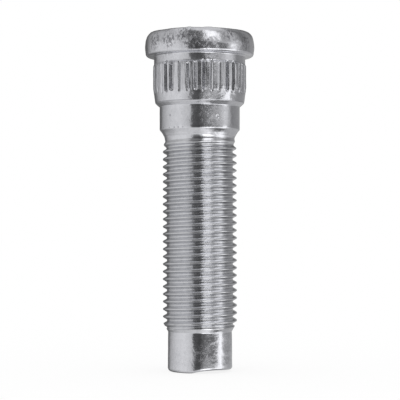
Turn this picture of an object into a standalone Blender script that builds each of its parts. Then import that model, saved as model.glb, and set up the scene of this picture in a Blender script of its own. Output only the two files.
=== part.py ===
"""Axle stud: a press-in wheel stud, cold headed from one steel blank.

From the top down it has a round head, a plain neck, a straight knurl with a tapered lead, a plain
shoulder, a rolled right-hand thread and a plain pilot end. The stud stands on its pilot end.
All sizes are in metres. The axis is +Z and the foot of the pilot is at z = 0.
"""

import math

import bmesh
import bpy

MM = 0.001

# Lengths along the axis. Depths below the head are taken from the seat, the head's underside.
overall_length = 57.50 * MM
head_thickness = 4.12 * MM
neck_length = 1.25 * MM
knurl_crest_length = 3.70 * MM
knurl_depth_below_head = 8.45 * MM
shoulder_depth_below_head = 12.41 * MM
shoulder_chamfer_length = 1.20 * MM
blank_neck_length = 0.40 * MM
pilot_length = 6.70 * MM

# Head, with a domed top edge, a side that draws in a little and a rounded lower edge
head_diameter = 18.68 * MM
head_top_edge_width = 1.04 * MM
head_top_edge_height = 2.70 * MM
head_side_draft = 0.10 * MM
head_lower_edge_radius = 0.50 * MM

# Neck, knurl and shoulder
neck_diameter = 15.55 * MM
knurl_diameter = 15.86 * MM
knurl_lead_diameter = 15.05 * MM
knurl_tooth_count = 36
knurl_groove_depth = 0.34 * MM
knurl_groove_share = 0.42
knurl_run_in = 0.45 * MM
knurl_groove_length = 5.20 * MM
knurl_run_out = 0.50 * MM
knurl_lead_chamfer = 0.22 * MM
shoulder_diameter = 13.65 * MM

# Thread, a 60 degree form with flat crests and roots, and the pilot below it
thread_diameter = 12.60 * MM
thread_pitch = 1.27 * MM
thread_crest_share = 0.125
thread_root_share = 0.25
thread_flank_angle = math.radians(30)
thread_lead_angle = math.radians(30)
thread_run_out = 1.90 * MM
blank_diameter = 11.88 * MM
pilot_top_diameter = 10.83 * MM
pilot_foot_diameter = 10.95 * MM
pilot_edge_radius = 0.65 * MM

# Facets
head_steps = 72
thread_columns = 36
overlap = 0.60 * MM

# Heights that follow from the sizes above
seat_height = overall_length - head_thickness
knurl_top = seat_height - neck_length
knurl_foot = seat_height - knurl_depth_below_head
shoulder_foot = seat_height - shoulder_depth_below_head
blank_top = shoulder_foot - shoulder_chamfer_length
thread_top = blank_top - blank_neck_length
thread_flank_length = thread_pitch * (1 - thread_crest_share - thread_root_share) / 2
thread_depth = thread_flank_length / math.tan(thread_flank_angle)
thread_root_radius = thread_diameter / 2 - thread_depth


def clear_scene():
    for obj in list(bpy.data.objects):
        bpy.data.objects.remove(obj, do_unlink=True)


def new_collection(name, hidden=False):
    collection = bpy.data.collections.new(name)
    collection.hide_render = hidden
    bpy.context.scene.collection.children.link(collection)
    return collection


def steel(name):
    material = bpy.data.materials.new(name)
    material.use_nodes = True
    shader = material.node_tree.nodes["Principled BSDF"]
    shader.inputs["Base Color"].default_value = (0.62, 0.63, 0.65, 1)
    shader.inputs["Metallic"].default_value = 1.0
    shader.inputs["Roughness"].default_value = 0.32
    return material


def ring(bm, radii, height):
    """One closed ring of vertices, given as (angle, radius) pairs."""
    return [bm.verts.new((r * math.cos(a), r * math.sin(a), height)) for a, r in radii]


def round_section(count, radius):
    return [(2 * math.pi * i / count, radius) for i in range(count)]


def bridge(bm, lower, upper):
    """Joins two rings of equal count, the lower one first."""
    count = len(lower)
    for i in range(count):
        j = (i + 1) % count
        bm.faces.new((lower[i], lower[j], upper[j], upper[i]))


def close_ends(bm, foot, top):
    bm.faces.new(list(reversed(foot)))
    bm.faces.new(top)


def object_from(bm, name, collection):
    mesh = bpy.data.meshes.new(name)
    bm.normal_update()
    bm.to_mesh(mesh)
    bm.free()
    obj = bpy.data.objects.new(name, mesh)
    collection.objects.link(obj)
    return obj


def turned(name, profile, collection):
    """A solid of revolution: a half profile of (radius, height), from its top centre to its foot centre."""
    mesh = bpy.data.meshes.new(name)
    edges = [(i, i + 1) for i in range(len(profile) - 1)]
    mesh.from_pydata([(r, 0, z) for r, z in profile], edges, [])
    obj = bpy.data.objects.new(name, mesh)
    collection.objects.link(obj)
    screw = obj.modifiers.new("turn", "SCREW")
    screw.axis = "Z"
    screw.angle = 2 * math.pi
    screw.steps = head_steps
    screw.render_steps = head_steps
    screw.use_merge_vertices = True
    screw.merge_threshold = 0.00001
    return obj


def head_profile():
    """The flat top, the domed edge, the drawn-in side, the rounded lower edge and the flat seat."""
    radius = head_diameter / 2
    lower_radius = radius - head_side_draft
    corner = head_lower_edge_radius
    top_steps = 6
    lower_steps = 3
    points = [(0, overall_length)]
    for i in range(top_steps + 1):
        turn = math.pi / 2 * i / top_steps
        out = head_top_edge_width * (1 - math.sin(turn))
        down = head_top_edge_height * (1 - math.cos(turn))
        points.append((radius - out, overall_length - down))
    for i in range(lower_steps + 1):
        turn = math.pi / 2 * i / lower_steps
        out = corner * (1 - math.cos(turn))
        up = corner * (1 - math.sin(turn))
        points.append((lower_radius - out, seat_height + up))
    points.append((0, seat_height))
    return points


def knurl_section(crest_radius, root_radius):
    """A toothed section: each tooth has a round crest, and each groove is a V between two lips.

    Where the crest has come down to the groove's root, the lips close on the root.
    """
    pitch = 2 * math.pi / knurl_tooth_count
    root_radius = min(root_radius, crest_radius)
    openness = min(1, max(0.04, (crest_radius - root_radius) / knurl_groove_depth))
    half = knurl_groove_share * pitch / 2 * openness
    section = []
    for i in range(knurl_tooth_count):
        middle = (i + 0.5) * pitch
        section.append((middle - half, crest_radius))
        section.append((middle, root_radius))
        section.append((middle + half, crest_radius))
    return section


def make_collar(collection):
    """The neck and the knurl, one body with a flat foot. It runs up into the head by the overlap."""
    crest = knurl_diameter / 2
    lead = knurl_lead_diameter / 2
    neck = neck_diameter / 2
    root = crest - knurl_groove_depth
    crest_top = knurl_top - knurl_run_in
    crest_foot = crest_top - knurl_crest_length
    lead_foot = knurl_foot + knurl_lead_chamfer
    groove_foot = knurl_top - knurl_groove_length
    run_out_top = groove_foot + knurl_run_out
    lead_slope = (crest - lead) / (crest_foot - lead_foot)
    foot_radius = lead + lead_slope * (groove_foot - lead_foot)
    run_out_radius = lead + lead_slope * (run_out_top - lead_foot)
    levels = [
        (knurl_foot, lead - knurl_lead_chamfer, lead - knurl_lead_chamfer),
        (lead_foot, lead, lead),
        (groove_foot, foot_radius, foot_radius),
        (run_out_top, run_out_radius, root),
        (crest_foot, crest, root),
        (crest_top, crest, root),
        (knurl_top, neck, neck),
        (seat_height + overlap, neck, neck),
    ]
    bm = bmesh.new()
    rings = [ring(bm, knurl_section(tip, low), z) for z, tip, low in levels]
    for lower, upper in zip(rings, rings[1:]):
        bridge(bm, lower, upper)
    close_ends(bm, rings[0], rings[-1])
    return object_from(bm, "neck_and_knurl", collection)


def thread_radius(share, height):
    """Radius of the thread form, a share of one pitch above its crest line, at a height."""
    from_crest = abs((share + 0.5) % 1 - 0.5) * thread_pitch
    into_flank = max(0, from_crest - thread_crest_share * thread_pitch / 2)
    drop = min(thread_depth, into_flank / math.tan(thread_flank_angle))
    radius = thread_diameter / 2 - drop
    lead = pilot_top_diameter / 2 + (height - pilot_length) * math.tan(thread_lead_angle)
    radius = min(radius, lead)
    blank = blank_diameter / 2
    strength = min(1, max(0, (thread_top - height) / thread_run_out))
    return blank + strength * (radius - blank)


def thread_column(bm, angle):
    """Vertices up one line of the thread, as (key, vertex). Equal keys are the same corner of the form."""
    corners = (
        -thread_crest_share / 2,
        thread_crest_share / 2,
        0.5 - thread_root_share / 2,
        0.5 + thread_root_share / 2,
    )
    clear_of_end = 0.10 * thread_pitch
    turn = angle / (2 * math.pi)
    start = pilot_length + 0.5 * thread_pitch + thread_pitch * turn
    turns = int((thread_top - pilot_length) / thread_pitch) + 3
    cosine = math.cos(angle)
    sine = math.sin(angle)
    low = pilot_top_diameter / 2
    high = blank_diameter / 2
    column = [(-math.inf, bm.verts.new((low * cosine, low * sine, pilot_length)))]
    for n in range(-3, turns):
        for k, share in enumerate(corners):
            height = start + (n + share) * thread_pitch
            if pilot_length + clear_of_end < height < thread_top - clear_of_end:
                radius = thread_radius(share, height)
                vertex = bm.verts.new((radius * cosine, radius * sine, height))
                column.append((n * len(corners) + k, vertex))
    column.append((math.inf, bm.verts.new((high * cosine, high * sine, thread_top))))
    return column, len(corners)


def join_columns(bm, near, far):
    """Faces between two neighbouring columns: quads where both have a corner, else a triangle."""
    a = 0
    b = 0
    while a < len(near) - 1 or b < len(far) - 1:
        next_a = near[a + 1][0] if a < len(near) - 1 else None
        next_b = far[b + 1][0] if b < len(far) - 1 else None
        if next_a == next_b:
            bm.faces.new((near[a][1], far[b][1], far[b + 1][1], near[a + 1][1]))
            a += 1
            b += 1
        elif next_b is None or (next_a is not None and next_a < next_b):
            bm.faces.new((near[a][1], far[b][1], near[a + 1][1]))
            a += 1
        else:
            bm.faces.new((near[a][1], far[b][1], far[b + 1][1]))
            b += 1


def pilot_profile():
    """The rounded edge of the pilot's foot, as (radius, height) from the flat foot up."""
    steps = 4
    radius = pilot_foot_diameter / 2
    points = []
    for i in range(steps + 1):
        turn = math.pi / 2 * i / steps
        inward = pilot_edge_radius * (1 - math.sin(turn))
        up = pilot_edge_radius * (1 - math.cos(turn))
        points.append((radius - inward, up))
    return points


def make_shank(collection):
    """The pilot, the thread and the shoulder, one body. It runs up into the knurl by the overlap."""
    bm = bmesh.new()
    shoulder = shoulder_diameter / 2
    columns = []
    corner_count = 0
    for i in range(thread_columns):
        column, corner_count = thread_column(bm, 2 * math.pi * i / thread_columns)
        columns.append(column)
    for near, far in zip(columns, columns[1:]):
        join_columns(bm, near, far)
    # One turn on, every corner of the first column is one pitch further up the form.
    first = [(key - corner_count, vertex) for key, vertex in columns[0]]
    join_columns(bm, columns[-1], first)
    thread_start = [column[0][1] for column in columns]
    thread_end = [column[-1][1] for column in columns]
    pilot_rings = [ring(bm, round_section(thread_columns, r), z) for r, z in pilot_profile()]
    blank = ring(bm, round_section(thread_columns, blank_diameter / 2), blank_top)
    edge = ring(bm, round_section(thread_columns, shoulder), shoulder_foot)
    top = ring(bm, round_section(thread_columns, shoulder), knurl_foot + overlap)
    for lower, upper in zip(pilot_rings, pilot_rings[1:] + [thread_start]):
        bridge(bm, lower, upper)
    bridge(bm, thread_end, blank)
    bridge(bm, blank, edge)
    bridge(bm, edge, top)
    close_ends(bm, pilot_rings[0], top)
    return object_from(bm, "threaded_shank", collection)


def join(name, base, others, collection):
    """One closed body out of the base and the others, joined with exact Booleans."""
    for other in others:
        union = base.modifiers.new("join " + other.name, "BOOLEAN")
        union.operation = "UNION"
        union.solver = "EXACT"
        union.object = other
        other.hide_render = True
        other.display_type = "WIRE"
    bpy.context.view_layer.update()
    graph = bpy.context.evaluated_depsgraph_get()
    mesh = bpy.data.meshes.new_from_object(base.evaluated_get(graph))
    mesh.name = name
    body = bpy.data.objects.new(name, mesh)
    collection.objects.link(body)
    base.hide_render = True
    base.display_type = "WIRE"
    mesh.shade_smooth()
    mesh.set_sharp_from_angle(angle=math.radians(28))
    return body


def main():
    clear_scene()
    stud = new_collection("axle_stud")
    sections = new_collection("stud_sections", hidden=True)
    head = turned("head", head_profile(), sections)
    collar = make_collar(sections)
    shank = make_shank(sections)
    body = join("wheel_stud", head, (collar, shank), stud)
    body.data.materials.clear()
    body.data.materials.append(steel("zinc_plated_steel"))


main()
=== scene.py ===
import math

import bmesh
import bpy
import numpy as np
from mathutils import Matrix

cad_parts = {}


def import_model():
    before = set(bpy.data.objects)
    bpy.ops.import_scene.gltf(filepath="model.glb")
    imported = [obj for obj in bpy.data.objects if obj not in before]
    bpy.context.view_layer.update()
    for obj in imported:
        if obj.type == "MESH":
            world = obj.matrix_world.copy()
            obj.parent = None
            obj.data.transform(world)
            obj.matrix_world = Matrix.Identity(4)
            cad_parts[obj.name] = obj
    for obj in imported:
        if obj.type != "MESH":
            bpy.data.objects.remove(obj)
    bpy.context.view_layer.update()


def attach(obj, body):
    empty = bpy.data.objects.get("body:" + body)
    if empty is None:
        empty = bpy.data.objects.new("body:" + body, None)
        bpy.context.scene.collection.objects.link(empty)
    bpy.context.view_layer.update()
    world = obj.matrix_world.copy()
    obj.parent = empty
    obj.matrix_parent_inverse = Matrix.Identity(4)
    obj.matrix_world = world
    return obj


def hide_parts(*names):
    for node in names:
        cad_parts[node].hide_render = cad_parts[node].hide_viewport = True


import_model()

MM = 0.001
TURN = 2 * math.pi
QUARTER = math.pi / 2
METRES_TO_MM = (1000, 1000, 1000)

# Sizes in millimetres, as in the CAD source but for fillets, the knurl's bevel and thread flats
OVERALL = 57.50
HEAD_THICKNESS = 4.12
HEAD_RADIUS = 18.68 / 2
HEAD_EDGE_WIDTH = 1.04
HEAD_EDGE_HEIGHT = 2.70
HEAD_DRAFT = 0.10
HEAD_LOWER_RADIUS = 0.50
NECK_LENGTH = 1.25
NECK_RADIUS = 15.55 / 2
NECK_FILLET = 0.22
KNURL_FOOT_BEVEL = 0.50
SHOULDER_FILLET = 0.20
KNURL_RADIUS = 15.86 / 2
KNURL_LEAD_RADIUS = 15.05 / 2
KNURL_CREST_LENGTH = 3.70
KNURL_DEPTH = 8.45
KNURL_TEETH = 36
KNURL_GROOVE_DEPTH = 0.34
KNURL_GROOVE_SHARE = 0.42
KNURL_GROOVE_END = 46.95
KNURL_RUN_IN = 0.45
KNURL_CHAMFER = 0.22
SHOULDER_RADIUS = 13.65 / 2
SHOULDER_DEPTH = 12.41
SHOULDER_CHAMFER = 1.20
BLANK_NECK = 0.40
BLANK_RADIUS = 11.88 / 2
THREAD_RADIUS = 12.60 / 2
THREAD_PITCH = 1.27
THREAD_CREST_SHARE = 0.170
THREAD_ROOT_SHARE = 0.205
THREAD_CORNER_SHARE = 0.050
THREAD_FLANK = math.radians(30)
THREAD_LEAD = math.radians(30)
THREAD_RUN_OUT = 1.90
PILOT_LENGTH = 6.70
PILOT_TOP_RADIUS = 10.83 / 2
PILOT_FOOT_RADIUS = 10.95 / 2
PILOT_EDGE = 0.65

# Heights and the depth of the thread, which follow from them
SEAT = OVERALL - HEAD_THICKNESS
KNURL_TOP = SEAT - NECK_LENGTH
KNURL_FOOT = SEAT - KNURL_DEPTH
SHOULDER_FOOT = SEAT - SHOULDER_DEPTH
BLANK_TOP = SHOULDER_FOOT - SHOULDER_CHAMFER
THREAD_TOP = BLANK_TOP - BLANK_NECK
THREAD_DEPTH = (THREAD_PITCH * (1 - THREAD_CREST_SHARE - THREAD_ROOT_SHARE)
                / 2 / math.tan(THREAD_FLANK))

# Low bumps on the rim of the head: place and width of each, and their height
RIM_BUMPS = [(-1.7, -8.2, 0.40), (1.1, -8.3, 0.45), (1.8, -8.2, 0.35), (6.1, 5.4, 0.40)]
RIM_BUMP_HEIGHT = 0.09

# The section of a groove, as shares of its width: half its floor, its side, and its raised lip
GROOVE_FLOOR = 0.12
GROOVE_SIDE = 0.42
GROOVE_LIP_PLACE = 0.56
GROOVE_LIP_WIDTH = 0.06
GROOVE_LIP_HEIGHT = 0.008

# How uneven each skin is in millimetres: broad waves, fine waves, and how far it is drawn in
HEAD_UNEVEN = (0.018, 0.006, 0.03)
COLLAR_UNEVEN = (0.010, 0.010, 0.01)
SHANK_UNEVEN = (0.010, 0.004, 0.008)
DRAWN_LINES = 0.012
ROUNDING = 1e-9

# Fineness of the skin
HEAD_COLUMNS = 192
COLUMNS_PER_TOOTH = 12
SHANK_COLUMNS = 120
THREAD_SHARES = (-0.135, -0.110, -0.085, -0.055, 0.055, 0.085, 0.110, 0.135,
                 0.22, 0.31, 0.360, 0.400, 0.440, 0.560, 0.60, 0.640, 0.69, 0.78)
THREAD_SPARE_TURNS = 3
THREAD_CLEAR_SHARE = 0.06
SMOOTH_BELOW = math.radians(50)

# Where the skin of the head begins, outside the neck's fillet
HEAD_SKIN_START = NECK_RADIUS + NECK_FILLET + 0.20

# Heights of the rings round the bevel at the knurl's foot, as shares of the bevel
BEVEL_SHARES = (0.15, 0.3, 0.5, 0.7, 0.84, 0.92, 0.97, 1.0, 1.05, 1.12, 1.2, 1.3, 1.45)

# Grooves of the knurl that face the camera, by number: width, depth and shift as shares
WORN_GROOVES = {
    19: (0.80, 0.25, 0.00), 20: (0.80, 0.22, 0.06), 21: (0.90, 0.30, 0.10),
    22: (1.30, 1.50, -0.10), 23: (1.50, 1.50, -0.22), 24: (0.85, 0.72, -0.03),
    25: (0.80, 0.75, 0.03), 26: (1.00, 0.90, -0.04), 27: (0.80, 0.90, -0.06),
    28: (1.00, 0.70, -0.05), 29: (1.00, 0.28, -0.03), 30: (1.10, 1.45, 0.08),
    31: (1.10, 1.35, 0.03), 32: (0.80, 0.60, 0.20)}

# How far the sheared end of the pilot stands off the ground: degrees from +X, and millimetres
FOOT_LIFT = [(0, 0.26), (30, 0.20), (62, 0.06), (90, 0.0), (248, 0.0), (256, 0.05),
             (266, 0.26), (280, 0.42), (300, 0.50), (335, 0.38), (360, 0.26)]
FOOT_DISH = 0.10
FOOT_RADII = (0.6, 1.8, 3.0, 4.0, 4.6)
PILOT_WALL_FOOT = 1.45


# Small unevenness

class Waves:
    """A smooth, repeatable unevenness: a sum of sine waves with fixed random directions."""

    def __init__(self, seed, shortest, longest, count=14):
        rng = np.random.default_rng(seed)
        directions = rng.normal(size=(count, 3))
        directions /= np.linalg.norm(directions, axis=1)[:, None]
        lengths = np.exp(rng.uniform(np.log(shortest), np.log(longest), count))
        self.k = directions * (TURN / lengths)[:, None]
        self.phase = rng.uniform(0, TURN, count)
        self.scale = 1 / math.sqrt(count)

    def __call__(self, points):
        return np.sin(points @ self.k.T + self.phase).sum(axis=-1) * self.scale


def smooth(t):
    t = np.clip(t, 0, 1)
    return t * t * (3 - 2 * t)


def hump(t, middle, width):
    """A bell of height one about its middle."""
    return math.exp(-((t - middle) / width) ** 2)


def arc(start, end, steps):
    return [start + (end - start) * i / steps for i in range(steps + 1)]


def points_at(angles, radii, heights):
    return np.stack([radii * np.cos(angles), radii * np.sin(angles), heights], axis=-1)


# Skins made of rings

def grid_mesh(bm, rings, close_foot=True, close_top=True):
    """A skin from rings of equal count in millimetres, the lowest first, closed where asked."""
    rows = [[bm.verts.new(p * MM) for p in ring] for ring in rings]
    for low, high in zip(rows, rows[1:]):
        count = len(low)
        for i in range(count):
            j = (i + 1) % count
            bm.faces.new((low[i], low[j], high[j], high[i]))
    if close_foot:
        bm.faces.new(list(reversed(rows[0])))
    if close_top:
        bm.faces.new(rows[-1])
    return rows


def bridge(bm, low, high):
    """Triangles between two closed rings of unequal count, both in the order of their angle."""
    def turned(ring):
        angles = [math.atan2(vertex.co.y, vertex.co.x) % TURN for vertex in ring]
        return angles + [angles[0] + TURN]

    low_angles = turned(low)
    high_angles = turned(high)
    a = 0
    b = 0
    while a < len(low) or b < len(high):
        if b == len(high) or (a < len(low) and low_angles[a + 1] <= high_angles[b + 1]):
            bm.faces.new((low[a], low[(a + 1) % len(low)], high[b % len(high)]))
            a += 1
        else:
            bm.faces.new((low[a % len(low)], high[(b + 1) % len(high)], high[b]))
            b += 1


def head_profile():
    """Radius and height from just outside the neck, over the side and the edge, to the middle."""
    lower = HEAD_RADIUS - HEAD_DRAFT
    profile = [(r, SEAT) for r in arc(HEAD_SKIN_START, lower - HEAD_LOWER_RADIUS, 4)]
    for turn in arc(0, QUARTER, 8)[1:]:
        profile.append((lower - HEAD_LOWER_RADIUS * (1 - math.sin(turn)),
                        SEAT + HEAD_LOWER_RADIUS * (1 - math.cos(turn))))
    edge_foot = OVERALL - HEAD_EDGE_HEIGHT
    wall_foot = SEAT + HEAD_LOWER_RADIUS
    for share in arc(0, 1, 6)[1:-1]:
        profile.append((lower + HEAD_DRAFT * share,
                        wall_foot + (edge_foot - wall_foot) * share))
    for turn in arc(0, QUARTER, 20):
        profile.append((HEAD_RADIUS - HEAD_EDGE_WIDTH * (1 - math.cos(turn)),
                        edge_foot + HEAD_EDGE_HEIGHT * math.sin(turn)))
    flat = HEAD_RADIUS - HEAD_EDGE_WIDTH
    return profile + [(r, OVERALL) for r in arc(flat, 0.3, 14)[1:]]


def head_rings():
    """The head, a little uneven, with its top lowered everywhere but at the bumps of its rim."""
    angles = np.arange(HEAD_COLUMNS) * TURN / HEAD_COLUMNS
    broad = Waves(3, 2.5, 9.0)
    fine = Waves(4, 0.7, 2.0)
    broad_size, fine_size, under = HEAD_UNEVEN
    rings = []
    for r, z in head_profile():
        base = points_at(angles, np.full(HEAD_COLUMNS, r), np.full(HEAD_COLUMNS, z))
        lump = broad_size * broad(base) + fine_size * fine(base)
        # The flat top keeps its rings, and the seat stays level up to 1 mm above it.
        if z < OVERALL - 0.02:
            base[:, :2] *= (1 + (lump - under) / max(r, 1))[:, None]
        if z > SEAT + 1.0:
            base[:, 2] += np.minimum(lump - under, 0) * smooth((z - SEAT - 1.0) / 1.5)
        bumps = sum(np.exp(-((base[:, 0] - x) ** 2 + (base[:, 1] - y) ** 2) / width ** 2)
                    for x, y, width in RIM_BUMPS)
        sunk = RIM_BUMP_HEIGHT * (1 - np.minimum(bumps, 1))
        base[:, 2] -= sunk * smooth((z - OVERALL + 0.9) / 0.8)
        rings.append(base)
    return rings


def collar_heights(crest_foot):
    """Heights of the collar's rings, from the bevel at its foot to the seat of the head."""
    crest_top = KNURL_TOP - KNURL_RUN_IN
    heights = [KNURL_FOOT + KNURL_FOOT_BEVEL * share for share in BEVEL_SHARES]
    heights += arc(KNURL_FOOT + KNURL_FOOT_BEVEL * 1.7, crest_foot + 0.3, 14)
    heights += arc(crest_foot + 0.7, crest_top - 0.4, 6)
    heights += arc(crest_top - 0.2, KNURL_TOP + 0.1, 8)
    heights += arc(KNURL_TOP + 0.25, SEAT - NECK_FILLET, 4)
    heights += [SEAT - NECK_FILLET * (1 - math.sin(turn)) for turn in arc(0, QUARTER, 6)[1:]]
    return heights


def collar_radius(z, crest_foot):
    """Radius over the crests: the tapered lead, the knurl, the neck and its fillet."""
    lead_foot = KNURL_FOOT + KNURL_CHAMFER
    slope = (KNURL_RADIUS - KNURL_LEAD_RADIUS) / (crest_foot - lead_foot)
    if z < crest_foot:
        radius = KNURL_LEAD_RADIUS + slope * (z - lead_foot)
    else:
        radius = KNURL_RADIUS
    run_in = smooth((z - (KNURL_TOP - KNURL_RUN_IN)) / KNURL_RUN_IN)
    radius -= (KNURL_RADIUS - NECK_RADIUS) * run_in
    # The bevel falls in at 45 degrees from a soft corner, and steeper at its foot.
    below = (KNURL_FOOT + KNURL_FOOT_BEVEL - z) / KNURL_FOOT_BEVEL
    softness = 0.10
    fall = softness * math.log1p(math.exp((below - 0.02) / softness))
    radius -= KNURL_FOOT_BEVEL * (fall + 0.5 * smooth((below - 0.8) / 0.4))
    into_head = z - (SEAT - NECK_FILLET)
    if into_head > 0:
        reach = min(1, into_head / NECK_FILLET)
        radius = NECK_RADIUS + NECK_FILLET * (1 - math.sqrt(max(0, 1 - reach ** 2)))
    return radius


def collar_rings():
    """The neck with its fillet under the head, the toothed band and the smooth lead below it."""
    rng = np.random.default_rng(12)
    count = KNURL_TEETH * COLUMNS_PER_TOOTH
    pitch = TURN / KNURL_TEETH
    angles = (np.arange(count) + 0.5) * TURN / count
    tooth = np.floor(angles / pitch).astype(int)
    widths = rng.uniform(0.75, 1.25, KNURL_TEETH)
    depths = rng.uniform(0.60, 1.30, KNURL_TEETH)
    shifts = rng.uniform(-0.10, 0.10, KNURL_TEETH)
    for number, (width, deep, aside) in WORN_GROOVES.items():
        widths[number] = width
        depths[number] = deep
        shifts[number] = aside
    top_end = KNURL_TOP - KNURL_RUN_IN * rng.uniform(0.2, 1.3, KNURL_TEETH)[tooth]
    groove_end = KNURL_GROOVE_END + rng.uniform(-0.18, 0.15, KNURL_TEETH)[tooth]

    share = KNURL_GROOVE_SHARE * widths[tooth]
    away = np.abs(angles / pitch - tooth - 0.5 - shifts[tooth])
    form = 1 - smooth((away / share - GROOVE_FLOOR) / GROOVE_SIDE)
    groove = form * (KNURL_GROOVE_DEPTH * depths[tooth])
    lip = GROOVE_LIP_HEIGHT * np.exp(-((away - share * GROOVE_LIP_PLACE) / GROOVE_LIP_WIDTH) ** 2)
    broad = Waves(5, 1.5, 6.0)
    fine = Waves(6, 0.35, 1.1)
    drawn = Waves(7, 0.30, 0.8)
    broad_size, fine_size, under = COLLAR_UNEVEN
    crest_foot = KNURL_TOP - KNURL_RUN_IN - KNURL_CREST_LENGTH
    rings = []
    for z in collar_heights(crest_foot):
        cut = smooth((top_end + 0.22 - z) / 0.40) * smooth((z - groove_end) / 0.35)
        radii = collar_radius(z, crest_foot) - groove * cut + lip * cut
        base = points_at(angles, radii, np.full(count, z))
        lump = broad_size * broad(base)
        # The fillet stays even, so that it meets the head all the way round.
        if z <= SEAT - NECK_FILLET + ROUNDING:
            lump += fine_size * fine(base) * (0.4 + 0.6 * cut)
            lump += DRAWN_LINES * drawn(base * (1, 1, 0.12)) * cut
        base[:, :2] *= (1 + (lump - under) / radii)[:, None]
        rings.append(base)
    return rings


def trapezoid(share):
    """Depth of the thread form, 0 to 1, a share of one pitch away from the crest's middle."""
    away = np.abs((share + 0.5) % 1 - 0.5)
    flank = 0.5 - THREAD_CREST_SHARE / 2 - THREAD_ROOT_SHARE / 2
    return np.clip((away - THREAD_CREST_SHARE / 2) / flank, 0, 1)


def thread_form(share):
    """The same with its corners rounded."""
    steps = np.linspace(-THREAD_CORNER_SHARE, THREAD_CORNER_SHARE, 9)
    return float(np.mean([trapezoid(share + step) for step in steps]))


def thread_radius(depth, height):
    """Radius at a depth of the form, with the lead at the foot and the run-out at the top."""
    radius = THREAD_RADIUS - depth * THREAD_DEPTH
    lead = PILOT_TOP_RADIUS + (height - PILOT_LENGTH) * math.tan(THREAD_LEAD)
    radius = min(radius, lead)
    strength = min(1, max(0, (THREAD_TOP - height) / THREAD_RUN_OUT))
    return BLANK_RADIUS + strength * (radius - BLANK_RADIUS)


def thread_columns(bm, foot_ring, top_ring, lump):
    """The threaded skin between two rings, in columns that follow the helix."""
    forms = [thread_form(share) for share in THREAD_SHARES]
    per_turn = len(THREAD_SHARES)
    clear = THREAD_CLEAR_SHARE * THREAD_PITCH
    turns = int((THREAD_TOP - PILOT_LENGTH) / THREAD_PITCH) + THREAD_SPARE_TURNS
    columns = []
    for i in range(SHANK_COLUMNS):
        angle = TURN * i / SHANK_COLUMNS
        start = PILOT_LENGTH + THREAD_PITCH * (0.5 + i / SHANK_COLUMNS)
        column = [(-math.inf, foot_ring[i])]
        for n in range(-THREAD_SPARE_TURNS, turns):
            for k, share in enumerate(THREAD_SHARES):
                z = start + (n + share) * THREAD_PITCH
                if PILOT_LENGTH + clear < z < THREAD_TOP - clear:
                    r = thread_radius(forms[k], z)
                    point = np.array([r * math.cos(angle), r * math.sin(angle), z])
                    point[:2] *= 1 + lump(point) / r
                    column.append((n * per_turn + k, bm.verts.new(point * MM)))
        column.append((math.inf, top_ring[i]))
        columns.append(column)
    for near, far in zip(columns, columns[1:]):
        join_columns(bm, near, far)
    # One turn on, every corner of the first column is one pitch further up the form.
    join_columns(bm, columns[-1], [(key - per_turn, vertex) for key, vertex in columns[0]])


def join_columns(bm, near, far):
    """Faces between neighbouring columns: quads where both have a corner, else a triangle."""
    a = 0
    b = 0
    while a < len(near) - 1 or b < len(far) - 1:
        next_a = near[a + 1][0] if a < len(near) - 1 else None
        next_b = far[b + 1][0] if b < len(far) - 1 else None
        if next_a == next_b:
            bm.faces.new((near[a][1], far[b][1], far[b + 1][1], near[a + 1][1]))
            a += 1
            b += 1
        elif next_b is None or (next_a is not None and next_a < next_b):
            bm.faces.new((near[a][1], far[b][1], near[a + 1][1]))
            a += 1
        else:
            bm.faces.new((near[a][1], far[b][1], far[b + 1][1]))
            b += 1


def pilot_rings(angles):
    """The foot face, the rounded and unevenly sheared edge and the wall of the pilot."""
    at, lifts = zip(*FOOT_LIFT)
    lift = np.interp(np.degrees(angles) % 360, at, lifts)
    even = np.ones(len(angles))
    rings = []
    for r in FOOT_RADII:
        dish = FOOT_DISH * (1 - (r / 5) ** 2) + lift * smooth(r / FOOT_RADII[-1])
        rings.append((r * even, dish))
    corner = np.clip(1 - lift * 0.62, 0.30, 1) * PILOT_EDGE
    for turn in arc(0, QUARTER, 9)[1:]:
        rings.append((PILOT_FOOT_RADIUS - corner * (1 - math.sin(turn)),
                      lift + corner * (1 - math.cos(turn))))
    for z in arc(PILOT_WALL_FOOT, PILOT_LENGTH - 0.05, 14):
        share = z / PILOT_LENGTH
        r = PILOT_FOOT_RADIUS + (PILOT_TOP_RADIUS - PILOT_FOOT_RADIUS) * share
        rings.append((r * even, z * even))
    rings.append((PILOT_TOP_RADIUS * even, PILOT_LENGTH * even))
    return rings


def shoulder_profile():
    """Radius and height from the top of the thread to the collar: chamfer, wall and fillet."""
    profile = []
    rise = SHOULDER_RADIUS - BLANK_RADIUS
    for share in arc(0, 1, 16):
        straight = max(0, share * 1.33 - 0.33)
        hollow = 0.10 * hump(share, 0.28, 0.20) * min(1, share / 0.15)
        crown = 0.045 * hump(share, 0.93, 0.10) * min(1, (1 - share) / 0.04)
        profile.append((BLANK_RADIUS + rise * min(1, straight + hollow + crown),
                        THREAD_TOP + (SHOULDER_FOOT - THREAD_TOP) * share))
    fillet_foot = KNURL_FOOT - SHOULDER_FILLET
    for share in arc(0, 1, 10)[1:]:
        profile.append((SHOULDER_RADIUS, SHOULDER_FOOT + (fillet_foot - SHOULDER_FOOT) * share))
    for turn in arc(0, QUARTER, 5)[1:]:
        profile.append((SHOULDER_RADIUS + SHOULDER_FILLET * (1 - math.cos(turn)),
                        fillet_foot + SHOULDER_FILLET * math.sin(turn)))
    return profile


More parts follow.
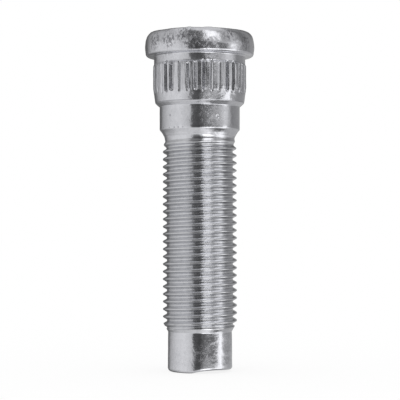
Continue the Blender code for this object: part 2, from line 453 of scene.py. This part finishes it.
def shank_skin(bm):
    """The pilot, the thread and the shoulder. Returns the open ring under the knurled band."""
    angles = np.arange(SHANK_COLUMNS) * TURN / SHANK_COLUMNS
    broad = Waves(8, 1.5, 6.0)
    fine = Waves(9, 0.5, 1.5)
    broad_size, fine_size, under = SHANK_UNEVEN

    def lump(points):
        return broad_size * broad(points) + fine_size * fine(points) - under

    def ring_of(radii, heights):
        base = points_at(angles, radii, heights)
        base[:, :2] *= (1 + lump(base) / np.maximum(radii, 1))[:, None]
        return base

    even = np.ones(SHANK_COLUMNS)
    lower = [ring_of(r, z) for r, z in pilot_rings(angles)]
    upper = [ring_of(r * even, z * even) for r, z in shoulder_profile()]
    low = grid_mesh(bm, lower, close_top=False)
    high = grid_mesh(bm, upper, close_foot=False, close_top=False)
    thread_columns(bm, low[-1], high[0], lump)
    return high[-1]


def stud_skin():
    """The whole stud as one closed surface."""
    bm = bmesh.new()
    head = grid_mesh(bm, head_rings(), close_foot=False)
    collar = grid_mesh(bm, collar_rings(), close_foot=False, close_top=False)
    bridge(bm, shank_skin(bm), collar[0])
    bridge(bm, collar[-1], head[0])
    bmesh.ops.recalc_face_normals(bm, faces=bm.faces)
    mesh = bpy.data.meshes.new("stud_skin")
    bm.to_mesh(mesh)
    bm.free()
    mesh.shade_smooth()
    mesh.set_sharp_from_angle(angle=SMOOTH_BELOW)
    skin = bpy.data.objects.new("stud_skin", mesh)
    bpy.context.scene.collection.objects.link(skin)
    return skin


# Nodes

class Nodes:
    """A short way to add and join the nodes of one material or world."""

    def __init__(self, tree):
        self.tree = tree

    def add(self, kind, **settings):
        node = self.tree.nodes.new(kind)
        for name, value in settings.items():
            setattr(node, name, value)
        return node

    def join(self, source, target):
        self.tree.links.new(source, target)

    def math(self, operation, a, b=None):
        node = self.add("ShaderNodeMath", operation=operation)
        for socket, value in zip(node.inputs, (a, b)):
            if value is None:
                continue
            if isinstance(value, (int, float)):
                socket.default_value = value
            else:
                self.join(value, socket)
        return node.outputs[0]

    def times(self, a, b):
        return self.math("MULTIPLY", a, b)

    def plus(self, a, b):
        return self.math("ADD", a, b)

    def most(self, a, b):
        return self.math("MAXIMUM", a, b)

    def noise(self, vector, scale, detail, roughness, seed, distortion=0.0):
        """Noise in four dimensions. The seed is the place along the fourth."""
        node = self.add("ShaderNodeTexNoise", noise_dimensions="4D")
        self.join(vector, node.inputs["Vector"])
        node.inputs["Scale"].default_value = scale
        node.inputs["Detail"].default_value = detail
        node.inputs["Roughness"].default_value = roughness
        node.inputs["Distortion"].default_value = distortion
        node.inputs["W"].default_value = seed
        return node.outputs["Fac"]

    def span(self, value, low, high, to_low=0.0, to_high=1.0):
        """A smooth step from one value to another, with both ends held."""
        node = self.add("ShaderNodeMapRange", interpolation_type="SMOOTHSTEP")
        self.join(value, node.inputs["Value"])
        node.inputs["From Min"].default_value = low
        node.inputs["From Max"].default_value = high
        node.inputs["To Min"].default_value = to_low
        node.inputs["To Max"].default_value = to_high
        return node.outputs["Result"]

    def mix(self, factor, a, b):
        """Two colours mixed. Either may be a node's output, a colour or a plain level."""
        node = self.add("ShaderNodeMix", data_type="RGBA")
        self.join(factor, node.inputs[0])
        for socket, value in zip((node.inputs[6], node.inputs[7]), (a, b)):
            if isinstance(value, tuple):
                socket.default_value = (*value, 1)
            elif isinstance(value, float):
                socket.default_value = (value, value, value, 1)
            else:
                self.join(value, socket)
        return node.outputs[2]

    def blob(self, vector, centre, radius, core=0.35):
        """A soft ball: one in its core, a share of its radius, and nothing beyond the radius."""
        node = self.add("ShaderNodeVectorMath", operation="DISTANCE")
        self.join(vector, node.inputs[0])
        node.inputs[1].default_value = centre
        return self.span(node.outputs["Value"], core * radius, radius, 1.0, 0.0)

    def scaled(self, vector, factors):
        node = self.add("ShaderNodeVectorMath", operation="MULTIPLY")
        self.join(vector, node.inputs[0])
        node.inputs[1].default_value = factors
        return node.outputs[0]

    def seen(self):
        """One for the rays of the camera, of reflections and of glass, nothing for the others."""
        rays = self.add("ShaderNodeLightPath").outputs
        seen = self.most(rays["Is Camera Ray"], rays["Is Glossy Ray"])
        return self.most(seen, rays["Is Transmission Ray"])

    def plain(self, kind, **colour_or_strength):
        """A shader node with plain values set on its sockets."""
        node = self.add(kind)
        for name, value in colour_or_strength.items():
            node.inputs[name].default_value = value
        return node.outputs[0]

    def blend(self, factor, first, second):
        node = self.add("ShaderNodeMixShader")
        for socket, source in zip(node.inputs, (factor, first, second)):
            self.join(source, socket)
        return node.outputs[0]

    def output(self, kind, surface):
        self.join(surface, self.add(kind).inputs["Surface"])


def empty_nodes(owner):
    """The nodes of a new material or world, with none left in it."""
    owner.use_nodes = True
    owner.node_tree.nodes.clear()
    return Nodes(owner.node_tree)


# Colours of the plating: two tones of zinc; the stains, which also carry the painted shade of the
# crease at the bevel's top; painted shade for the beds of the grooves, also used for streaks; and
# painted shade over the thread
ZINC_DARKER = (0.698, 0.703, 0.738)
ZINC_LIGHTER = (0.758, 0.763, 0.798)
STAIN_AND_SHADE = (0.225, 0.224, 0.242)
GROOVE_SHADE_AND_STREAKS = (0.240, 0.241, 0.256)
THREAD_SHADE = (0.41, 0.42, 0.385)
THREAD_SHADE_SHARE = 0.14
BUMP_DISTANCE = 0.00007

# Dull patches in the plating of the head: centre and radius in millimetres
HEAD_STAINS = [
    ((-7.6, -5.4, 55.5), 2.0), ((-5.2, -7.8, 55.4), 2.0), ((-2.4, -9.0, 56.2), 2.3),
    ((-1.6, -9.2, 54.9), 1.9), ((1.4, -9.2, 54.6), 1.3), ((5.1, -7.8, 56.3), 1.6),
    ((7.8, -5.2, 55.2), 1.9)]

# Small dark pits in the shoulder, and one bright dent: centre and radius in millimetres
PITS = [
    ((-4.94, -4.71, 43.1), 0.30), ((-5.10, -4.54, 41.05), 0.20), ((-4.26, -5.33, 41.05), 0.24),
    ((-3.58, -5.81, 41.05), 0.22), ((-2.81, -6.22, 41.05), 0.18), ((-6.1, -3.1, 41.10), 0.20)]
DENT = ((2.98, -6.14, 42.75), 0.42)

# Broken dull patches on the pilot: centre and radius in millimetres
PILOT_STAINS = [((-0.2, -5.45, 2.6), 1.5), ((0.2, -5.45, 4.6), 1.2), ((1.5, -5.25, 3.4), 1.2)]

# Scuffed places on the band's ends, the shoulder, the pilot and the head: centre and radius
SCUFFS = [
    ((1.8, -7.7, 51.8), 2.6), ((1.4, -7.7, 46.8), 1.9), ((2.0, -6.5, 42.8), 3.6),
    ((0.5, -5.4, 3.2), 2.1), ((1.4, -9.2, 54.6), 3.0), ((-1.6, -9.2, 55.2), 2.4)]

# Grooves whose beds get painted shade: number, half width of the shaded strip in millimetres, and
# how dark the painted shade is
SHADED_GROOVES = [(22, 0.38, 1.0), (23, 0.44, 1.0), (24, 0.95, 0.16), (30, 0.32, 1.0),
                (31, 0.28, 1.0)]
SHADE_STRIP_FADE = 0.18


def groove_shade_and_streaks(n, place, knurled, streaks):
    """Painted shade in the beds of the worn grooves, broken by streaks, and weaker dark streaks all
    round the toothed band.
    """
    flat = n.scaled(place, (1, 1, 0))
    bed_shade = None
    for number, half_width, shade_strength in SHADED_GROOVES:
        angle = TURN * (number + 0.5 + WORN_GROOVES[number][2]) / KNURL_TEETH
        middle = (KNURL_RADIUS * math.cos(angle), KNURL_RADIUS * math.sin(angle), 0)
        strip = n.times(n.blob(flat, middle, half_width + SHADE_STRIP_FADE), shade_strength)
        bed_shade = strip if bed_shade is None else n.most(bed_shade, strip)
    bed_shade = n.times(n.times(bed_shade, knurled), n.span(streaks, 0.35, 0.60, 0.60, 1.0))
    return n.most(bed_shade, n.times(knurled, n.span(streaks, 0.50, 0.64, 0.0, 0.50)))


def zinc_plated_steel():
    """Bright zinc over forged steel: neutral grey, softly mottled, with faint handling marks, and
    painted shade at the crease of the bevel's top, in the beds of the grooves facing the camera and
    over the thread.
    """
    material = bpy.data.materials.new("zinc_plated_steel")
    material.use_nodes = True
    n = Nodes(material.node_tree)
    shader = material.node_tree.nodes["Principled BSDF"]
    shader.inputs["Metallic"].default_value = 1.0
    place = n.scaled(n.add("ShaderNodeTexCoord").outputs["Object"], METRES_TO_MM)
    split = n.add("ShaderNodeSeparateXYZ")
    n.join(place, split.inputs[0])
    height = split.outputs["Z"]
    bevel_top = KNURL_FOOT + KNURL_FOOT_BEVEL
    head = n.span(height, SEAT - 1.0, SEAT + 0.3)
    knurled = n.times(n.span(height, KNURL_GROOVE_END, KNURL_GROOVE_END + 0.5),
                      n.span(height, KNURL_TOP - KNURL_RUN_IN, KNURL_TOP + 0.2, 1, 0))
    threaded = n.times(n.span(height, PILOT_LENGTH, PILOT_LENGTH + 0.8),
                       n.span(height, THREAD_TOP - 1.5, THREAD_TOP, 1, 0))
    mottle = n.noise(place, 1.7, 4, 0.62, 4.1, 0.6)
    grain = n.noise(place, 4.2, 3, 0.65, 7.7)
    flecks = n.noise(n.scaled(place, (1, 1, 0.7)), 3.1, 4, 0.60, 6.4, 0.3)
    streaks = n.noise(n.scaled(place, (1, 1, 0.06)), 3.4, 3, 0.6, 1.9)

    patches = n.span(n.noise(place, 0.42, 3, 0.6, 1.3, 0.4), 0.47, 0.62, 0.0, 0.55)
    for spot in HEAD_STAINS:
        patches = n.most(patches, n.blob(place, *spot))
    stains_and_shade = n.times(n.span(flecks, 0.46, 0.57), patches)
    stains_and_shade = n.times(stains_and_shade, n.span(head, 0, 1, 0.22, 0.85))
    # Painted shade: a thin dark ring along the crease at the top of the knurl's foot bevel, mixed
    # in with the stains.
    crease_shade = n.times(n.span(height, bevel_top - 0.03, bevel_top + 0.07),
                     n.span(height, bevel_top + 0.07, bevel_top + 0.17, 1, 0))
    stains_and_shade = n.most(stains_and_shade, n.times(crease_shade, 0.70))
    for spot in PITS:
        stains_and_shade = n.most(stains_and_shade, n.times(n.blob(place, *spot), 0.50))
    broken = n.span(flecks, 0.44, 0.56, 0.0, 0.60)
    for spot in PILOT_STAINS:
        stains_and_shade = n.most(stains_and_shade, n.times(n.blob(place, *spot), broken))

    base = n.mix(n.span(mottle, 0.34, 0.66), ZINC_DARKER, ZINC_LIGHTER)
    # The stains, the pits and the painted shade of the crease darken the base colour.
    base = n.mix(stains_and_shade, base, STAIN_AND_SHADE)
    # Painted shade in the beds of the grooves facing the camera, and dark streaks round the band,
    # darken the base colour.
    base = n.mix(groove_shade_and_streaks(n, place, knurled, streaks), base, GROOVE_SHADE_AND_STREAKS)
    # Painted shade: the thread's base colour is darkened a little, with a faint yellow cast, for
    # the shade in its grooves.
    base = n.mix(n.times(threaded, THREAD_SHADE_SHARE), base, THREAD_SHADE)
    n.join(base, shader.inputs["Base Color"])

    scuff = n.blob(place, *SCUFFS[0])
    for spot in SCUFFS[1:]:
        scuff = n.most(scuff, n.blob(place, *spot))
    marks = n.noise(n.scaled(place, (1, 1, 0.75)), 1.9, 4, 0.62, 8.8, 0.5)
    smears = n.noise(n.scaled(place, (1, 1, 0.8)), 0.85, 3, 0.55, 5.2, 0.8)
    marks = n.times(n.most(n.span(marks, 0.54, 0.60), n.span(smears, 0.54, 0.61)), scuff)
    rough = n.span(mottle, 0.35, 0.7, 0.09, 0.14)
    rough = n.plus(rough, n.span(grain, 0.54, 0.72, 0.0, 0.10))
    rough = n.plus(rough, n.times(marks, n.span(head, 0, 1, 0.20, 0.34)))
    rough = n.plus(rough, n.times(stains_and_shade, 0.20))
    rough = n.plus(rough, n.times(knurled, 0.08))
    n.join(rough, shader.inputs["Roughness"])

    dimples = n.noise(place, 4.5, 3, 0.6, 3.3)
    relief = n.times(n.noise(place, 1.3, 2, 0.5, 9.9), 0.45)
    relief = n.plus(relief, n.times(dimples, n.span(scuff, 0, 1, 0.09, 0.32)))
    relief = n.plus(relief, n.times(streaks, n.span(knurled, 0, 1, 0.0, 0.50)))
    relief = n.plus(relief, n.times(n.noise(place, 12.0, 2, 0.5, 5.5), 0.03))
    drawn = n.noise(n.scaled(place, (0.35, 0.35, 9.0)), 1.0, 3, 0.6, 2.2)
    relief = n.plus(relief, n.times(drawn, 0.05))
    relief = n.math("SUBTRACT", relief, n.times(n.blob(place, *DENT), 0.9))
    bump = n.add("ShaderNodeBump")
    bump.inputs["Strength"].default_value = 1.0
    bump.inputs["Distance"].default_value = BUMP_DISTANCE
    n.join(relief, bump.inputs["Height"])
    n.join(bump.outputs["Normal"], shader.inputs["Normal"])
    return material


# Studio

TENT_RADIUS = 0.80
TENT_HEIGHT = 0.03
FLOOR_REACH = 3.0
FLOOR_GLOW = 0.80

# Light levels of the cards round the stud, as degrees to the right of the camera and level, in six
# rings: a little above the level of the stud, a little below it, well above it, and three steps
# further below. Each has a white card on the left, a black one beside the camera, a bright strip on
# the right and grey behind.
CARDS_LEVEL = [
    (-180, 0.20), (-155, 0.12), (-142, 0.18), (-130, 0.40), (-95, 0.70), (-60, 0.80),
    (-27, 0.60), (-21, 0.12), (0, 0.08), (20, 0.22), (45, 0.42), (75, 0.74), (86, 0.72),
    (105, 0.26), (180, 0.40)]
CARDS_LOW = [
    (-180, 0.24), (-155, 0.16), (-142, 0.20), (-130, 0.42), (-95, 0.74), (-60, 0.84),
    (-29, 0.66), (-24, 0.10), (0, 0.06), (25, 0.16), (45, 0.12), (60, 0.20), (67, 0.50),
    (74, 1.40), (83, 1.30), (89, 0.45), (110, 0.30), (180, 0.40)]
CARDS_ABOVE = [
    (-180, 0.12), (-160, 0.16), (-130, 0.42), (-50, 0.66), (-33, 0.26), (0, 0.12), (8, 0.20),
    (19, 1.35), (38, 1.35), (52, 0.40), (75, 0.58), (102, 0.18), (135, 0.30), (165, 0.12),
    (180, 0.12)]
CARDS_BELOW = [
    (-180, 0.16), (-148, 0.18), (-134, 0.46), (-90, 0.76), (-50, 0.84), (-28, 0.66),
    (-20, 0.12), (0, 0.08), (15, 0.44), (48, 0.58), (68, 1.20), (84, 1.30), (100, 0.60),
    (120, 0.44), (180, 0.50)]
CARDS_UNDER = [
    (-180, 0.12), (-160, 0.13), (-128, 0.40), (-84, 0.74), (-50, 0.84), (-28, 0.66),
    (-20, 0.25), (0, 0.20), (6, 0.60), (12, 1.90), (42, 1.90), (48, 0.85), (54, 0.80),
    (62, 1.40), (84, 1.35), (108, 0.46), (180, 0.50)]
CARDS_DEEP = [
    (-180, 0.30), (-146, 0.34), (-122, 0.64), (-28, 0.72), (-10, 0.62), (10, 0.80), (40, 1.04),
    (68, 0.44), (86, 0.14), (104, 0.18), (150, 0.46), (180, 0.60)]

# Where each ring takes over from those before it: degrees of elevation, and cards or a plain level
CARD_RINGS = [
    (-2, 4, CARDS_LEVEL), (9, 20, CARDS_ABOVE), (-5.6, -6.8, CARDS_BELOW),
    (-17, -24, CARDS_UNDER), (-42, -52, CARDS_DEEP), (50, 70, 0.72), (-74, -84, 0.66)]


def card_ramp(n, share, stops):
    """The levels of one ring of cards, by share of a turn."""
    ramp = n.add("ShaderNodeValToRGB")
    n.join(share, ramp.inputs[0])
    elements = ramp.color_ramp.elements
    elements.remove(elements[1])
    for i, (degrees, level) in enumerate(stops):
        element = elements[0] if i == 0 else elements.new(degrees / 360 + 0.5)
        element.color = (level, level, level, 1)
    return ramp.outputs[0]


def tent_cards():
    """The cards as plain light by direction from the tent's centre."""
    material = bpy.data.materials.new("tent_cards")
    n = empty_nodes(material)
    split = n.add("ShaderNodeSeparateXYZ")
    n.join(n.add("ShaderNodeTexCoord").outputs["Object"], split.inputs[0])
    x, y, z = (split.outputs[axis] for axis in "XYZ")
    # Azimuth zero lies towards the camera, at -Y, and grows to the right, towards +X.
    azimuth = n.math("ARCTAN2", x, n.times(y, -1.0))
    share = n.plus(n.math("DIVIDE", azimuth, TURN), 0.5)
    reach = n.math("SQRT", n.plus(n.times(x, x), n.times(y, y)))
    elevation = n.times(n.math("ARCTAN2", z, reach), 180 / math.pi)
    level = card_ramp(n, share, CARDS_LOW)
    for start, end, cards in CARD_RINGS:
        if end > start:
            factor = n.span(elevation, start, end)
        else:
            factor = n.span(elevation, end, start, 1, 0)
        if isinstance(cards, list):
            cards = card_ramp(n, share, cards)
        level = n.mix(factor, level, cards)
    light = n.add("ShaderNodeEmission")
    n.join(level, light.inputs["Color"])
    light.inputs["Strength"].default_value = 1.0
    n.output("ShaderNodeOutputMaterial", light.outputs[0])
    return material


def tent():
    """A round tent of white, grey and black cards about the stud, which only reflections see."""
    mesh = bpy.data.meshes.new("studio_tent")
    bm = bmesh.new()
    bmesh.ops.create_uvsphere(bm, u_segments=96, v_segments=48, radius=TENT_RADIUS)
    bmesh.ops.reverse_faces(bm, faces=bm.faces)
    bm.to_mesh(mesh)
    bm.free()
    mesh.materials.append(tent_cards())
    shell = bpy.data.objects.new("studio_tent", mesh)
    shell.location = (0, 0, TENT_HEIGHT)
    shell.visible_camera = False
    shell.visible_diffuse = False
    shell.visible_shadow = False
    bpy.context.scene.collection.objects.link(shell)


def floor():
    """A plain white floor that keeps the stud's soft shadow."""
    material = bpy.data.materials.new("white_floor")
    n = empty_nodes(material)
    diffuse = n.plain("ShaderNodeBsdfDiffuse", Color=(1, 1, 1, 1))
    glow = n.plain("ShaderNodeEmission", Color=(1, 1, 1, 1), Strength=1.0)
    factor = n.times(n.seen(), FLOOR_GLOW)
    n.output("ShaderNodeOutputMaterial", n.blend(factor, diffuse, glow))
    mesh = bpy.data.meshes.new("floor")
    corners = [(-1, -1), (1, -1), (1, 1), (-1, 1)]
    mesh.from_pydata([(x * FLOOR_REACH, y * FLOOR_REACH, 0) for x, y in corners],
                     [], [(0, 1, 2, 3)])
    mesh.materials.append(material)
    plane = bpy.data.objects.new("floor", mesh)
    plane.visible_glossy = False
    bpy.context.scene.collection.objects.link(plane)


def world():
    """White to the eye and in the metal, and a plain soft level for everything else."""
    sky = bpy.data.worlds.new("studio")
    bpy.context.scene.world = sky
    n = empty_nodes(sky)
    white = n.plain("ShaderNodeBackground", Color=(1, 1, 1, 1), Strength=1.0)
    soft = n.plain("ShaderNodeBackground", Color=(1, 1, 1, 1), Strength=1.0)
    n.output("ShaderNodeOutputWorld", n.blend(n.seen(), soft, white))


# Camera: its place in metres, its tip up and roll in radians, and its focal length in pixels
CAMERA_PLACE = (0.000024, -0.2496, 0.02347)
CAMERA_TIP = 0.02221
CAMERA_ROLL = 0.0014
CAMERA_FOCAL_PIXELS = 1467.06
IMAGE_PIXELS = 400
SENSOR_WIDTH = 36.0


def camera():
    """The photograph's viewpoint: level with the lower half of the thread, tipped up a little."""
    data = bpy.data.cameras.new("camera")
    data.sensor_fit = "HORIZONTAL"
    data.sensor_width = SENSOR_WIDTH
    data.lens = CAMERA_FOCAL_PIXELS * SENSOR_WIDTH / IMAGE_PIXELS
    data.clip_start = 0.01
    data.clip_end = 10.0
    viewer = bpy.data.objects.new("camera", data)
    viewer.location = CAMERA_PLACE
    viewer.rotation_euler = (QUARTER + CAMERA_TIP, CAMERA_ROLL, 0)
    bpy.context.scene.collection.objects.link(viewer)
    bpy.context.scene.camera = viewer


skin = stud_skin()
skin.data.materials.append(zinc_plated_steel())
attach(skin, "root")
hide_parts("wheel_stud")
tent()
floor()
world()
camera()
bpy.context.scene.view_settings.view_transform = "Standard"
